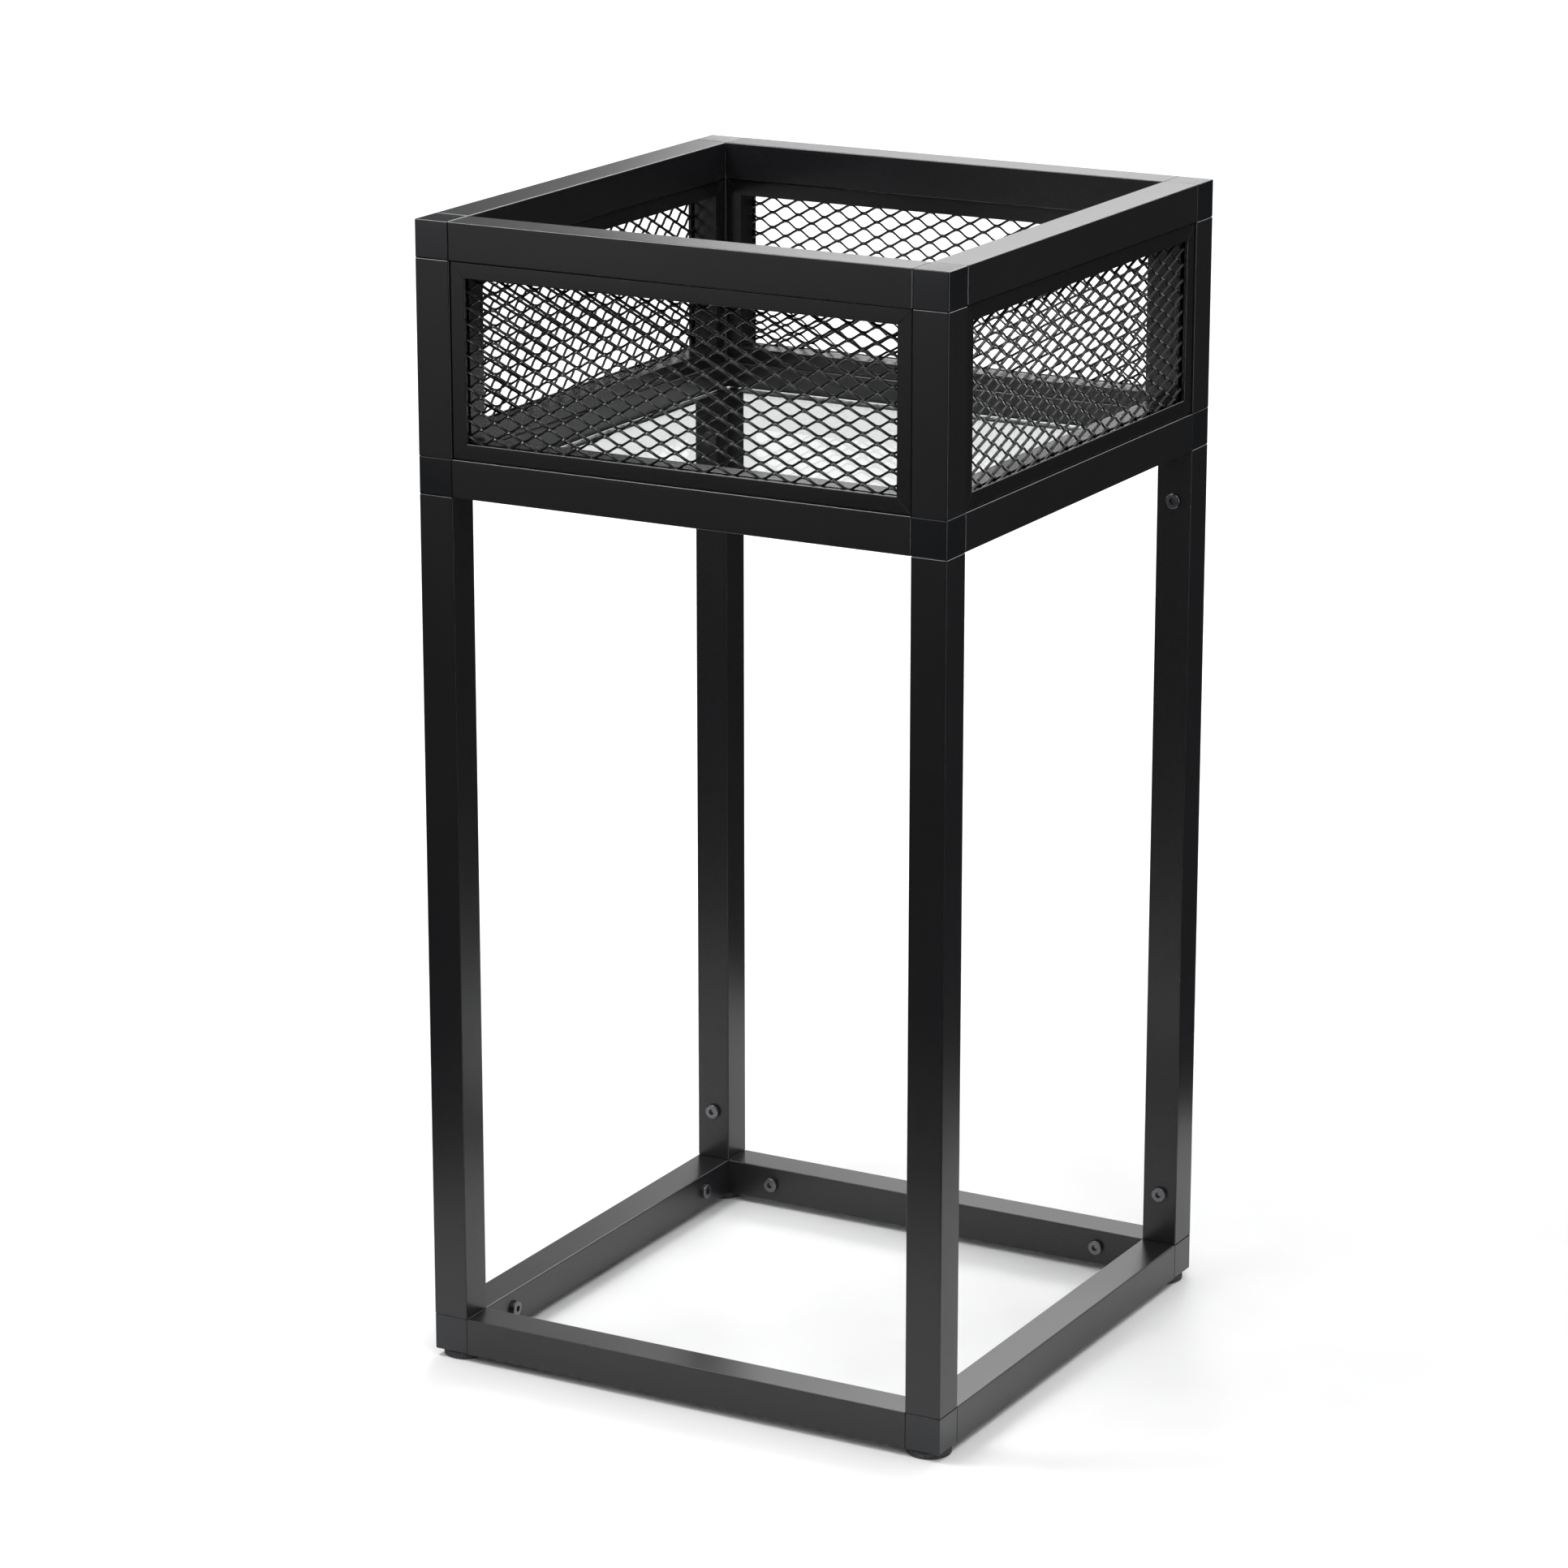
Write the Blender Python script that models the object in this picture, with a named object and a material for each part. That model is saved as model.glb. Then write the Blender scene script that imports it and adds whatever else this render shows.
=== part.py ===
"""Square-tube stand that carries an open mesh-sided basket with a lift-out glass floor.

Metres, +Z up, origin at the centre of the footprint on the ground. The front faces -Y.
Cube connectors with square spigots hold the tubes, socket screws lock the bottom frame and
the legs, four expanded-metal panels close the basket, and a glass plate rests on lips
inside the middle rails.
"""

import math

import bmesh
import bpy
from mathutils import Euler, Matrix, Vector

# Driving dimensions
TUBE = 0.025            # outside width of every tube and connector cube
WALL = 0.0015           # tube wall
RAIL_SPAN = 0.330       # clear distance between two connectors on one level
UPPER_SPAN = 0.128      # clear height between the middle and the top connectors
LOWER_SPAN = 0.562      # clear height between the bottom and the middle connectors
FIT_GAP = 0.0003        # clearance between neighbouring pieces
TUBE_CHAMFER = 0.0006
CUBE_CHAMFER = 0.0012
SPIGOT_LENGTH = 0.045

FOOT_HEIGHT = 0.005     # ground to the underside of the connectors
FOOT_DIAMETER = 0.029
FOOT_INSET = 0.0022     # foot centre, inwards of the connector's centre
FOOT_BEVEL = 0.001

SCREW_OFFSET = 0.035    # screw axis, from the end of its tube
HEAD_DIAMETER = 0.0104
HEAD_HEIGHT = 0.0026
HEAD_EDGE = 0.0006
SOCKET_WIDTH = 0.004    # across the flats
SOCKET_DEPTH = 0.0016
SHANK_DIAMETER = 0.0050
SHANK_LENGTH = 0.010
CLEARANCE_HOLE = 0.0062
TAPPED_HOLE = 0.0056
TAPPED_DEPTH = 0.0095

BAR_WIDTH = 0.0105      # panel bar, seen from the front
BAR_DEPTH = 0.022
BAR_CHAMFER = 0.0004
PANEL_RECESS = 0.0013   # panel face, behind the face of the tubes
MESH_DEPTH = 0.0037     # middle of the mesh sheet, behind the panel face
MESH_THICKNESS = 0.0024
MESH_GRIP = 0.0035      # how far the sheet reaches into the groove of the bars
GROOVE_DEPTH = 0.0042

MESH_LONG = 0.0203      # real pitch of the expanded metal, along and up the panel
MESH_SHORT = 0.0104
STRAND = 0.0019         # width of one strand
MESH_COARSENESS = 2     # the sheet is cut with diamonds this many times the real size

LIP_WIDTH = 0.004       # lip that carries the glass, inside the middle rails
LIP_THICKNESS = 0.0022
LIP_RISE = 0.0002       # underside of the lip, above the underside of the rail
LIP_ROOT = 0.0006       # how far the lip reaches into the wall of the rail
GLASS_MARGIN = 0.002    # between the glass and the rails
GLASS_THICKNESS = 0.006
GLASS_CHAMFER = 0.0006
GLASS_CORNER = 0.003

# Derived sizes
WIDTH = RAIL_SPAN + 2 * TUBE
AXIS = (WIDTH - TUBE) / 2           # tube axes, from the centre of the footprint
INNER = RAIL_SPAN / 2               # inner faces of the tubes
BORE = TUBE - 2 * WALL
SPIGOT = BORE - 2 * FIT_GAP
BOTTOM_Z = FOOT_HEIGHT + TUBE / 2   # centres of the three levels of connectors
MIDDLE_Z = BOTTOM_Z + TUBE + LOWER_SPAN
TOP_Z = MIDDLE_Z + TUBE + UPPER_SPAN
UPPER_Z = (MIDDLE_Z + TOP_Z) / 2
LOWER_Z = (BOTTOM_Z + MIDDLE_Z) / 2
LIP_TOP_Z = MIDDLE_Z - TUBE / 2 + LIP_RISE + LIP_THICKNESS
PANEL_WIDTH = RAIL_SPAN - 2 * FIT_GAP
PANEL_HEIGHT = UPPER_SPAN - 2 * FIT_GAP

X, Y, Z = Vector((1, 0, 0)), Vector((0, 1, 0)), Vector((0, 0, 1))
CORNERS = {
    "front_left": (-1, -1),
    "front_right": (1, -1),
    "back_right": (1, 1),
    "back_left": (-1, 1),
}
SIDES = {"front": 0, "right": 90, "back": 180, "left": 270}  # turn about Z, in degrees


def clear_scene():
    for obj in list(bpy.data.objects):
        bpy.data.objects.remove(obj, do_unlink=True)


def make_material(name, colour, roughness, metallic=0.0, transmission=0.0):
    material = bpy.data.materials.new(name)
    material.use_nodes = True
    shader = material.node_tree.nodes["Principled BSDF"]
    shader.inputs["Base Color"].default_value = (*colour, 1.0)
    shader.inputs["Roughness"].default_value = roughness
    shader.inputs["Metallic"].default_value = metallic
    shader.inputs["Transmission Weight"].default_value = transmission
    return material


def make_parent(name, location):
    empty = bpy.data.objects.new(name, None)
    bpy.context.collection.objects.link(empty)
    empty.location = location
    return empty


def place(name, mesh, parent, location, rotation=None):
    """Put a copy of a mesh at a place given in world coordinates, under an unrotated parent."""
    obj = bpy.data.objects.new(name, mesh)
    bpy.context.collection.objects.link(obj)
    obj.parent = parent
    obj.location = Vector(location) - parent.location
    obj.rotation_euler = rotation or (0, 0, 0)
    return obj


def finish_mesh(name, bm, material, smooth=False):
    bmesh.ops.recalc_face_normals(bm, faces=bm.faces)
    mesh = bpy.data.meshes.new(name)
    bm.to_mesh(mesh)
    bm.free()
    mesh.materials.append(material)
    if smooth:
        mesh.shade_smooth()
        mesh.set_sharp_from_angle(angle=math.radians(35))
    return mesh


def boolean(mesh, tool, operation):
    """Return a new mesh: mesh with the tool's mesh cut out of it or joined to it."""
    body = bpy.data.objects.new("body", mesh)
    cutter = bpy.data.objects.new("cutter", tool)
    for obj in (body, cutter):
        bpy.context.collection.objects.link(obj)
    cutter.hide_render = True
    cutter.display_type = "WIRE"
    modifier = body.modifiers.new(operation.lower(), "BOOLEAN")
    modifier.operation = operation
    modifier.object = cutter
    evaluated = body.evaluated_get(bpy.context.evaluated_depsgraph_get())
    result = bpy.data.meshes.new_from_object(evaluated)
    result.name = mesh.name
    bpy.data.objects.remove(body, do_unlink=True)
    bpy.data.objects.remove(cutter, do_unlink=True)
    return result


def rounded_square(width, chamfer):
    """Corner points of a square with cut corners, anticlockwise."""
    half = width / 2
    points = []
    for sx, sy in ((1, -1), (1, 1), (-1, 1), (-1, -1)):
        near = (sx * half, sy * (half - chamfer))
        far = (sx * (half - chamfer), sy * half)
        points += [near, far] if sx * sy > 0 else [far, near]
    return points


def skin_loops(bm, loops):
    """Join equal closed loops of points, each to the next and the last to the first."""
    rings = [[bm.verts.new(point) for point in loop] for loop in loops]
    for ring, following in zip(rings, rings[1:] + rings[:1]):
        for i in range(len(ring)):
            j = (i + 1) % len(ring)
            bm.faces.new((ring[i], ring[j], following[j], following[i]))


def add_cylinder(bm, diameter, height, base, direction, sides=12):
    """Closed cylinder that starts at base and runs along direction."""
    turn = Z.rotation_difference(direction).to_matrix().to_4x4()
    middle = Vector(base) + direction * height / 2
    bmesh.ops.create_cone(bm, cap_ends=True, segments=sides, radius1=diameter / 2,
                          radius2=diameter / 2, depth=height,
                          matrix=Matrix.Translation(middle) @ turn)


def add_box(bm, low, high):
    size = Vector(high) - Vector(low)
    centre = (Vector(high) + Vector(low)) / 2
    matrix = Matrix.Translation(centre) @ Matrix.Diagonal((*size, 1))
    bmesh.ops.create_cube(bm, size=1, matrix=matrix)


def tube_mesh(name, length, material, hole_heights=()):
    """Hollow tube along Z, with screw holes in its +Y wall at the given heights."""
    bm = bmesh.new()
    outer = rounded_square(TUBE, TUBE_CHAMFER)
    inner = rounded_square(BORE, TUBE_CHAMFER / 2)
    half = length / 2
    skin_loops(bm, [
        [(x, y, -half) for x, y in outer],
        [(x, y, half) for x, y in outer],
        [(x, y, half) for x, y in inner],
        [(x, y, -half) for x, y in inner],
    ])
    mesh = finish_mesh(name, bm, material)
    if hole_heights:
        tool = bmesh.new()
        for height in hole_heights:
            start = Vector((0, TUBE / 2 - 2 * WALL, height))
            add_cylinder(tool, CLEARANCE_HOLE, 4 * WALL, start, Y)
        mesh = boolean(mesh, finish_mesh(name + "_holes", tool, material), "DIFFERENCE")
    return mesh


def rail_with_lip_mesh(name, length, material):
    """Tube along Z whose +Y face carries the mitred lip, at +X, which the rail's turn puts down."""
    mesh = tube_mesh(name, length, material)
    bm = bmesh.new()
    underside = TUBE / 2 - LIP_RISE
    root, edge = TUBE / 2 - LIP_ROOT, TUBE / 2 + LIP_WIDTH
    rings = []
    for x in (underside, underside - LIP_THICKNESS):
        wide, narrow = length / 2 - FIT_GAP, length / 2 - FIT_GAP - LIP_WIDTH
        outline = ((root, -wide), (root, wide), (TUBE / 2, wide), (edge, narrow),
                   (edge, -narrow), (TUBE / 2, -wide))
        rings.append([bm.verts.new((x, y, z)) for y, z in outline])
    for i in range(len(rings[0])):
        j = (i + 1) % len(rings[0])
        bm.faces.new((rings[0][i], rings[0][j], rings[1][j], rings[1][i]))
    for ring in rings:
        bm.faces.new(ring)
    return boolean(mesh, finish_mesh(name + "_lip", bm, material), "UNION")


def connector_mesh(name, spigots, material, tapped=()):
    """Cube with a square spigot along each direction; tapped lists (spigot, facing) pairs."""
    bm = bmesh.new()
    bmesh.ops.create_cube(bm, size=TUBE)
    bmesh.ops.bevel(bm, geom=bm.edges[:], offset=CUBE_CHAMFER, offset_type="OFFSET",
                    segments=1, affect="EDGES", clamp_overlap=True)
    bm.normal_update()
    bases = [max(bm.faces, key=lambda f: f.normal.dot(direction) * f.calc_area())
             for direction in spigots]
    inset = (TUBE - 2 * CUBE_CHAMFER - SPIGOT) / 2
    for direction, face in zip(spigots, bases):
        bmesh.ops.inset_individual(bm, faces=[face], thickness=inset, use_even_offset=True)
        end = bmesh.ops.extrude_discrete_faces(bm, faces=[face])["faces"][0]
        bmesh.ops.translate(bm, verts=end.verts, vec=direction * SPIGOT_LENGTH)
    mesh = finish_mesh(name, bm, material)
    if tapped:
        tool = bmesh.new()
        for spigot, facing in tapped:
            mouth = spigot * (TUBE / 2 + FIT_GAP + SCREW_OFFSET) + facing * (SPIGOT / 2 + WALL)
            add_cylinder(tool, TAPPED_HOLE, TAPPED_DEPTH + WALL, mouth, -facing)
        mesh = boolean(mesh, finish_mesh(name + "_taps", tool, material), "DIFFERENCE")
    return mesh


def screw_mesh(material, sides=12):
    """Low-head socket screw: its head rests at Z = 0 and points up, its shank points down."""
    profile = (
        (0, -SHANK_LENGTH),
        (SHANK_DIAMETER / 2, -SHANK_LENGTH),
        (SHANK_DIAMETER / 2, 0),
        (HEAD_DIAMETER / 2, 0),
        (HEAD_DIAMETER / 2, HEAD_HEIGHT - HEAD_EDGE),
        (HEAD_DIAMETER / 2 - HEAD_EDGE, HEAD_HEIGHT),
        (0, HEAD_HEIGHT),
    )
    bm = bmesh.new()
    verts = [bm.verts.new((radius, 0, height)) for radius, height in profile]
    edges = [bm.edges.new(pair) for pair in zip(verts, verts[1:])]
    bmesh.ops.spin(bm, geom=verts + edges, cent=(0, 0, 0), axis=(0, 0, 1),
                   angle=math.tau, steps=sides, use_merge=True)
    bmesh.ops.remove_doubles(bm, verts=bm.verts, dist=1e-6)
    mesh = finish_mesh("screw", bm, material)
    socket = bmesh.new()
    across_corners = SOCKET_WIDTH / math.cos(math.pi / 6)
    floor = Vector((0, 0, HEAD_HEIGHT - SOCKET_DEPTH))
    add_cylinder(socket, across_corners, 2 * SOCKET_DEPTH, floor, Z, sides=6)
    mesh = boolean(mesh, finish_mesh("socket", socket, material), "DIFFERENCE")
    mesh.shade_smooth()
    mesh.set_sharp_from_angle(angle=math.radians(35))
    return mesh


def panel_frame_mesh(material):
    """Mitred picture frame with a groove for the mesh; its face looks along -Y from Y = 0."""
    groove_low = MESH_DEPTH - MESH_THICKNESS / 2 - FIT_GAP
    groove_high = MESH_DEPTH + MESH_THICKNESS / 2 + FIT_GAP
    profile = (
        (BAR_CHAMFER, 0),
        (BAR_WIDTH - BAR_CHAMFER, 0),
        (BAR_WIDTH, BAR_CHAMFER),
        (BAR_WIDTH, groove_low),
        (BAR_WIDTH - GROOVE_DEPTH, groove_low),
        (BAR_WIDTH - GROOVE_DEPTH, groove_high),
        (BAR_WIDTH, groove_high),
        (BAR_WIDTH, BAR_DEPTH),
        (0, BAR_DEPTH),
        (0, BAR_CHAMFER),
    )
    bm = bmesh.new()
    skin_loops(bm, [
        [(sx * (PANEL_WIDTH / 2 - inset), depth, sz * (PANEL_HEIGHT / 2 - inset))
         for sx, sz in ((-1, -1), (1, -1), (1, 1), (-1, 1))]
        for inset, depth in profile
    ])
    return finish_mesh("panel_frame", bm, material)


def mesh_sheet_mesh(material):
    """Flat sheet cut with staggered diamonds, its middle plane at Y = 0."""
    half_width = PANEL_WIDTH / 2 - BAR_WIDTH
    half_height = PANEL_HEIGHT / 2 - BAR_WIDTH
    grip = Vector((MESH_GRIP, 0, MESH_GRIP))
    corner = Vector((half_width, MESH_THICKNESS / 2, half_height)) + grip
    bm = bmesh.new()
    add_box(bm, -corner, corner)
    sheet = finish_mesh("mesh_sheet", bm, material)

    step_x = MESH_LONG * MESH_COARSENESS / 2
    step_z = MESH_SHORT * MESH_COARSENESS / 2
    centre_to_strand = step_x * step_z / math.hypot(step_x, step_z)
    shrink = 1 - STRAND * MESH_COARSENESS / 2 / centre_to_strand
    tool = bmesh.new()
    for column in range(-math.ceil(half_width / step_x), math.ceil(half_width / step_x) + 1):
        for row in range(-math.ceil(half_height / step_z), math.ceil(half_height / step_z) + 1):
            x, z = column * step_x, row * step_z
            inside = abs(x) + step_x * shrink < half_width and abs(z) + step_z * shrink < half_height
            if (column + row) % 2 or not inside:
                continue
            reach = ((1, 0), (0, 1), (-1, 0), (0, -1))
            rings = [
                [tool.verts.new((x + dx * step_x * shrink, y, z + dz * step_z * shrink))
                 for dx, dz in reach]
                for y in (-MESH_THICKNESS, MESH_THICKNESS)
            ]
            for i in range(4):
                j = (i + 1) % 4
                tool.faces.new((rings[0][i], rings[0][j], rings[1][j], rings[1][i]))
            for ring in rings:
                tool.faces.new(ring)
    return boolean(sheet, finish_mesh("diamonds", tool, material), "DIFFERENCE")


def glass_mesh(material):
    """Square plate with small round corners and ground edges, its underside at Z = 0."""
    half = INNER - GLASS_MARGIN
    bm = bmesh.new()
    add_box(bm, (-half, -half, 0), (half, half, GLASS_THICKNESS))
    upright = [e for e in bm.edges if abs((e.verts[0].co - e.verts[1].co).z) > 0]
    bmesh.ops.bevel(bm, geom=upright, offset=GLASS_CORNER, offset_type="OFFSET",
                    segments=4, profile=0.5, affect="EDGES")
    rims = [e for f in bm.faces if abs(f.normal.z) > 0.5 for e in f.edges]
    bmesh.ops.bevel(bm, geom=rims, offset=GLASS_CHAMFER, offset_type="OFFSET",
                    segments=1, affect="EDGES")
    return finish_mesh("glass_shelf", bm, material)


def foot_mesh(material, sides=20):
    """Round pad that stands on Z = 0, with a rounded lower rim."""
    height = FOOT_HEIGHT - FIT_GAP
    bm = bmesh.new()
    add_cylinder(bm, FOOT_DIAMETER, height, (0, 0, 0), Z, sides)
    lower_rim = [e for e in bm.edges if max(v.co.z for v in e.verts) < height / 2]
    bmesh.ops.bevel(bm, geom=lower_rim, offset=FOOT_BEVEL, offset_type="OFFSET",
                    segments=2, profile=0.5, affect="EDGES")
    return finish_mesh("foot", bm, material, smooth=True)


def rail_rotation(turn_degrees):
    """Lays a Z-long tube along the side at this turn, with its +Y wall facing inwards."""
    lay_down = Matrix.Rotation(math.radians(90), 4, "Y")
    return (Matrix.Rotation(math.radians(turn_degrees), 4, "Z") @ lay_down).to_euler()


def on_side(turn_degrees, along, out, height):
    """World point on a side: along it, out from the centre line, and up."""
    return Matrix.Rotation(math.radians(turn_degrees), 3, "Z") @ Vector((along, -out, height))


def facing_rotation(direction):
    """Turns a piece whose +Z is its outward axis so that it faces along direction."""
    return Z.rotation_difference(direction).to_euler()


def build_connectors(parent, material):
    for corner, (sx, sy) in CORNERS.items():
        to_x, to_y = -sx * X, -sy * Y
        centre = (sx * AXIS, sy * AXIS)
        levels = {
            "top": (TOP_Z, (to_x, to_y, -Z), ()),
            "mid": (MIDDLE_Z, (to_x, to_y, Z, -Z), ((-Z, to_y),)),
            "bottom": (BOTTOM_Z, (to_x, to_y, Z), ((to_x, to_y), (to_y, to_x), (Z, to_y))),
        }
        for level, (height, spigots, tapped) in levels.items():
            name = f"{level}_corner_{corner}"
            mesh = connector_mesh(name, spigots, material, tapped)
            place(name, mesh, parent, (*centre, height))


def build_tubes(parent, material):
    rail_length = RAIL_SPAN - 2 * FIT_GAP
    hole = rail_length / 2 - SCREW_OFFSET
    rails = {
        "top": (TOP_Z, tube_mesh("top_rail", rail_length, material)),
        "mid": (MIDDLE_Z, rail_with_lip_mesh("mid_rail", rail_length, material)),
        "bottom": (BOTTOM_Z, tube_mesh("bottom_rail", rail_length, material, (-hole, hole))),
    }
    for level, (height, mesh) in rails.items():
        for side, turn in SIDES.items():
            where = on_side(turn, 0, AXIS, height)
            place(f"{level}_rail_{side}", mesh, parent, where, rail_rotation(turn))

    post_mesh = tube_mesh("upper_post", UPPER_SPAN - 2 * FIT_GAP, material)
    leg_length = LOWER_SPAN - 2 * FIT_GAP
    leg_hole = leg_length / 2 - SCREW_OFFSET
    leg_mesh = tube_mesh("lower_leg", leg_length, material, (-leg_hole, leg_hole))
    for corner, (sx, sy) in CORNERS.items():
        holes_inwards = (0, 0, 0 if sy < 0 else math.pi)
        place(f"upper_post_{corner}", post_mesh, parent, (sx * AXIS, sy * AXIS, UPPER_Z))
        place(f"lower_leg_{corner}", leg_mesh, parent, (sx * AXIS, sy * AXIS, LOWER_Z),
              holes_inwards)


def build_screws(parent, material):
    mesh = screw_mesh(material)
    along = RAIL_SPAN / 2 - FIT_GAP - SCREW_OFFSET
    for side, turn in SIDES.items():
        inwards = on_side(turn, 0, -1, 0)
        for label, sign in (("a", -1), ("b", 1)):
            seat = on_side(turn, sign * along, INNER - FIT_GAP, BOTTOM_Z)
            place(f"rail_screw_{side}_{label}", mesh, parent, seat, facing_rotation(inwards))
    leg_foot_z = BOTTOM_Z + TUBE / 2 + FIT_GAP + SCREW_OFFSET
    for corner, (sx, sy) in CORNERS.items():
        seat = (sx * AXIS, sy * (INNER - FIT_GAP), leg_foot_z)
        place(f"leg_screw_{corner}", mesh, parent, seat, facing_rotation(-sy * Y))


def build_panels(parent, frame_material, mesh_material):
    frame = panel_frame_mesh(frame_material)
    sheet = mesh_sheet_mesh(mesh_material)
    face = WIDTH / 2 - PANEL_RECESS
    for side, turn in SIDES.items():
        rotation = Euler((0, 0, math.radians(turn)))
        place(f"panel_frame_{side}", frame, parent, on_side(turn, 0, face, UPPER_Z), rotation)
        middle = on_side(turn, 0, face - MESH_DEPTH, UPPER_Z)
        place(f"panel_mesh_{side}", sheet, parent, middle, rotation)


def build_feet(parent, material):
    mesh = foot_mesh(material)
    for corner, (sx, sy) in CORNERS.items():
        reach = AXIS - FOOT_INSET
        place(f"foot_{corner}", mesh, parent, (sx * reach, sy * reach, 0))


def build():
    clear_scene()
    tube_black = make_material("tube_black", (0.022, 0.022, 0.023), 0.45, 0.3)
    connector_black = make_material("connector_black", (0.020, 0.020, 0.023), 0.38, 0.3)
    panel_black = make_material("panel_black", (0.018, 0.018, 0.020), 0.42, 0.3)
    mesh_black = make_material("mesh_black", (0.016, 0.016, 0.017), 0.3, 0.3)
    screw_steel = make_material("screw_steel", (0.09, 0.09, 0.095), 0.35, 0.9)
    pad_rubber = make_material("pad_rubber", (0.02, 0.02, 0.021), 0.9)
    clear_glass = make_material("clear_glass", (0.86, 0.92, 0.89), 0.03, 0.0, 0.9)

    stand = make_parent("stand", (0, 0, 0))
    build_connectors(stand, connector_black)
    build_tubes(stand, tube_black)
    build_panels(stand, panel_black, mesh_black)
    build_screws(stand, screw_steel)
    build_feet(stand, pad_rubber)

    lift = make_parent("glass_lift", (0, 0, LIP_TOP_Z + FIT_GAP))
    place("glass_shelf", glass_mesh(clear_glass), lift, lift.location)


build()
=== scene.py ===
"""Looks of the square-tube stand with a mesh-sided basket and a lift-out glass floor.

Metres, +Z up, the front faces -Y. Every piece is rebuilt finely in the place of its CAD node:
places and overall sizes are read from the frame, and the constants below are the fine details.
"""

import math

import bmesh
import bpy
from mathutils import Matrix, Vector


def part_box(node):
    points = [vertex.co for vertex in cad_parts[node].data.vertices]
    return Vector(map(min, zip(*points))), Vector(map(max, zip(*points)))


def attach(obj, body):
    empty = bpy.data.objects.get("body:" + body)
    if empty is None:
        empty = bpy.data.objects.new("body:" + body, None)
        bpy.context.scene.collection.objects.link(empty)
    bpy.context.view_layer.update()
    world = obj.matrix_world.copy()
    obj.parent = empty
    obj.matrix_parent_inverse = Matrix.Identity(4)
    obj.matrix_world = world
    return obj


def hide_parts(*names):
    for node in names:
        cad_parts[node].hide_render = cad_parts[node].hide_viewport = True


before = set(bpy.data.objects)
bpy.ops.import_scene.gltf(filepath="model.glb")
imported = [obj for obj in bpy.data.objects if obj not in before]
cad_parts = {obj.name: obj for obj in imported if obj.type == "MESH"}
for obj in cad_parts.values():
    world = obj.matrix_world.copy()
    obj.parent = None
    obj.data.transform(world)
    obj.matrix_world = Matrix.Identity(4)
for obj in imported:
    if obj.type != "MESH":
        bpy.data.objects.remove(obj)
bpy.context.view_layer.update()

# Tubes and connectors
WALL = 0.0015            # tube wall
TUBE_ROUND = 0.0008      # outer corners of a tube
TUBE_END = 0.00022       # broken edge at a tube's end
CUBE_ROUND = 0.0009      # edges of a connector cube
SEAM = 0.00006           # hairline between a tube and a connector
SPIGOT_CLEARANCE = 0.0006
ARC_STEPS = 4            # segments in each small round edge

# Panels
BAR_WIDTH = 0.0105
BAR_ROUND = 0.0007
MITRE_ROUND = 0.0004
MITRE_GAP = 0.00007      # half of the hairline between two bars
GROOVE_DEPTH = 0.0042
GROOVE_WIDTH = 0.0030

# Raised expanded metal
MESH_LONG = 0.0203       # pitch along the panel
MESH_SHORT = 0.0104      # pitch up the panel
STRAND_WIDTH = 0.00195
STRAND_THICKNESS = 0.0014
STRAND_ROUND = 0.0005    # corners of a strand's section
SECTION_STEPS = 3        # segments in each of those corners
STRAND_LEAN = math.radians(52)   # the strands' tops lean inwards
SLOPE_STEPS = 3          # segments between two bonds
BOND_LENGTH = 0.0024
BOND_SHARE = BOND_LENGTH / MESH_LONG   # half a bond, as a share of the way to the next one
BOND_EASE = 0.3          # how roundly a strand leaves a bond, 0 to 1
BOND_OVERLAP = 0.00025   # how far two strands sink into each other at a bond
# A bond's place from the lower left corner of the clear opening, along and up
BOND_PHASE = {
    "front": (0.0199, 0.0102),
    "right": (0.01455, 0.00815),
    "back": (0.0199, 0.0102),
    "left": (0.01455, 0.00815),
}

# Lip under the glass, and the glass
LIP_WIDTH = 0.004
LIP_THICKNESS = 0.0022
LIP_RISE = 0.0002
LIP_ROOT = 0.0006
GLASS_CORNER = 0.003
GLASS_EDGE = 0.0006

# Screws
HEAD_DIAMETER = 0.0104
HEAD_PROUD = 0.0029      # from the tube's face
HEAD_EDGE = 0.0007
SOCKET_WIDTH = 0.004     # across the flats
SOCKET_DEPTH = 0.0019
SHANK_DIAMETER = 0.005
SHANK_LENGTH = 0.010
SHANK_EDGE = 0.0005      # broken edge at the shank's tip
CLEARANCE_HOLE = 0.0062
TAPPED_HOLE = 0.0056
TAPPED_DEPTH = 0.0125
SCREW_REACH = 0.06       # a connector takes the screws that are this near its centre

FOOT_ROUND = 0.0011

X, Y, Z = Vector((1, 0, 0)), Vector((0, 1, 0)), Vector((0, 0, 1))
CORNERS = {
    "front_left": (-1, -1),
    "front_right": (1, -1),
    "back_right": (1, 1),
    "back_left": (-1, 1),
}
SIDES = {"front": 0, "right": 90, "back": 180, "left": 270}   # turn about Z, in degrees


def size(node):
    low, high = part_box(node)
    return high - low


def centre(node):
    low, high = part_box(node)
    return (high + low) / 2


TUBE = size("top_rail_front").z
AXIS = -centre("top_rail_front").y
INNER = AXIS - TUBE / 2
LEVELS = {level: centre(f"{level}_rail_front").z for level in ("top", "mid", "bottom")}


def turned(turn_degrees):
    return Matrix.Rotation(math.radians(turn_degrees), 4, "Z")


# ---------------------------------------------------------------- mesh helpers

def rounded_square(width, radius):
    """Outline of a square with round corners, anticlockwise."""
    reach = width / 2 - radius
    points = []
    for quarter, (sx, sy) in enumerate(((1, 1), (-1, 1), (-1, -1), (1, -1))):
        for step in range(ARC_STEPS + 1):
            angle = math.radians(90 * (quarter + step / ARC_STEPS))
            points.append((sx * reach + radius * math.cos(angle),
                           sy * reach + radius * math.sin(angle)))
    return points


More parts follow.
